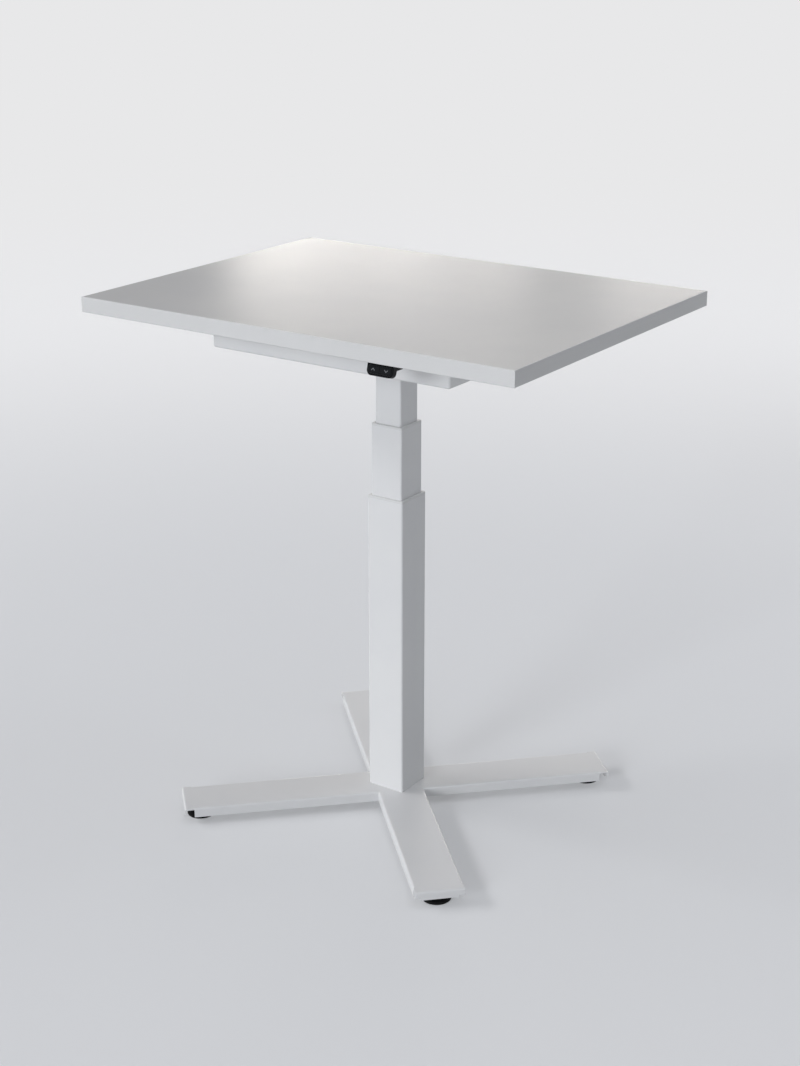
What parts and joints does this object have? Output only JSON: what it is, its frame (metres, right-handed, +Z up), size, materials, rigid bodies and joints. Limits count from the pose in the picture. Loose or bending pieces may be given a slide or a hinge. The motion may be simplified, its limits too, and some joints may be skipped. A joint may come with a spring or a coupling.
{
  "type": "standing desk",
  "caption": "Rectangular sit-stand desk top on a central telescopic lifting column with a folded-sheet cross base, levelling glides and an up/down handset under the front edge.",
  "frame": {"origin": "on the floor under the axis of the column, at the centre of the desk's footprint", "axes": "+Z up, front edge of the top towards -Y, +X to the right of a person at the desk"},
  "size_m": [0.8, 0.6, 0.9],
  "materials": {
    "top_laminate": "satin white laminate",
    "edge_band": "satin",
    "white_steel": "fine white powder coat",
    "collar_plastic": "matt",
    "guide_plastic": "natural",
    "bare_steel": "oiled",
    "zinc_fastener": "zinc plated",
    "cast_alloy": "as cast",
    "motor_steel": "black",
    "black_plastic": "fine texture",
    "handset_plastic": "matt",
    "button_plastic": "matt",
    "glide_plastic": "matt"
  },
  "bodies": {
    "base": {"leg_front_left": "white_steel", "leg_front_right": "white_steel", "leg_rear_left": "white_steel", "leg_rear_right": "white_steel", "hub_plate": "white_steel", "glide_sockets": "zinc_fastener", "column_foot_plate": "bare_steel", "column_bolts": "zinc_fastener", "outer_tube": "white_steel", "outer_collar": "collar_plastic", "base_carrier_tube": "bare_steel", "lower_spindle_nut": "guide_plastic"},
    "middle_stage": {"middle_tube": "white_steel", "middle_collar": "collar_plastic", "middle_guide_shoe": "guide_plastic", "middle_end_plug": "bare_steel", "middle_carrier_tube": "bare_steel", "carrier_bearing": "bare_steel"},
    "top_stage": {"inner_tube": "white_steel", "inner_guide_shoe": "guide_plastic", "drive_bearing": "bare_steel", "gearbox_housing": "cast_alloy", "gearbox_bolts": "zinc_fastener", "head_plate": "bare_steel", "drive_motor": "motor_steel", "motor_end_cap": "black_plastic", "support_tray": "white_steel", "tray_screws": "zinc_fastener", "control_box": "black_plastic", "control_box_lid": "black_plastic", "control_box_screws": "zinc_fastener", "power_inlet": "black_plastic", "lead_sockets": "black_plastic", "tabletop_panel": "top_laminate", "edge_front": "edge_band", "edge_back": "edge_band", "edge_left": "edge_band", "edge_right": "edge_band", "handset_housing": "handset_plastic", "handset_screws": "zinc_fastener"},
    "hollow_screw": {"hollow_spindle": "bare_steel", "upper_spindle_nut": "guide_plastic"},
    "drive_screw": {"drive_spindle": "bare_steel"},
    "up_key": {"up_button": "button_plastic"},
    "down_key": {"down_button": "button_plastic"},
    "glide_front_left": {"glide_pad_front_left": "glide_plastic", "glide_stud_front_left": "zinc_fastener"},
    "glide_front_right": {"glide_pad_front_right": "glide_plastic", "glide_stud_front_right": "zinc_fastener"},
    "glide_rear_left": {"glide_pad_rear_left": "glide_plastic", "glide_stud_rear_left": "zinc_fastener"},
    "glide_rear_right": {"glide_pad_rear_right": "glide_plastic", "glide_stud_rear_right": "zinc_fastener"}
  },
  "joints": [
    {"name": "middle_lift", "type": "slide", "parent": "base", "child": "middle_stage", "axis": [0, 0, 1], "range_m": [-0.117, 0.183]},
    {"name": "top_lift", "type": "slide", "parent": "middle_stage", "child": "top_stage", "axis": [0, 0, 1], "range_m": [-0.117, 0.183]},
    {"name": "hollow_screw_turn", "type": "hinge", "parent": "middle_stage", "child": "hollow_screw", "pos_m": [0, 0, 0.6], "axis": [0, 0, 1], "range_deg": [-2107, 3295]},
    {"name": "drive_screw_turn", "type": "hinge", "parent": "top_stage", "child": "drive_screw", "pos_m": [0, 0, 0.8], "axis": [0, 0, 1], "range_deg": [-4213, 6589]},
    {"name": "up_press", "type": "slide", "parent": "top_stage", "child": "up_key", "axis": [0, 0.9659, -0.2588], "range_m": [0, 0.0008], "stiffness_N_per_m": 2500},
    {"name": "down_press", "type": "slide", "parent": "top_stage", "child": "down_key", "axis": [0, 0.9659, -0.2588], "range_m": [0, 0.0008], "stiffness_N_per_m": 2500},
    {"name": "glide_front_left_screw", "type": "slide", "parent": "base", "child": "glide_front_left", "axis": [0, 0, -1], "range_m": [0, 0.008]},
    {"name": "glide_front_right_screw", "type": "slide", "parent": "base", "child": "glide_front_right", "axis": [0, 0, -1], "range_m": [0, 0.008]},
    {"name": "glide_rear_left_screw", "type": "slide", "parent": "base", "child": "glide_rear_left", "axis": [0, 0, -1], "range_m": [0, 0.008]},
    {"name": "glide_rear_right_screw", "type": "slide", "parent": "base", "child": "glide_rear_right", "axis": [0, 0, -1], "range_m": [0, 0.008]}
  ],
  "couplings": [
    {"joint": "top_lift", "follows": "middle_lift", "ratio": 1},
    {"joint": "hollow_screw_turn", "follows": "middle_lift", "rad_per_m": 314.16},
    {"joint": "drive_screw_turn", "follows": "middle_lift", "rad_per_m": 628.32}
  ]
}
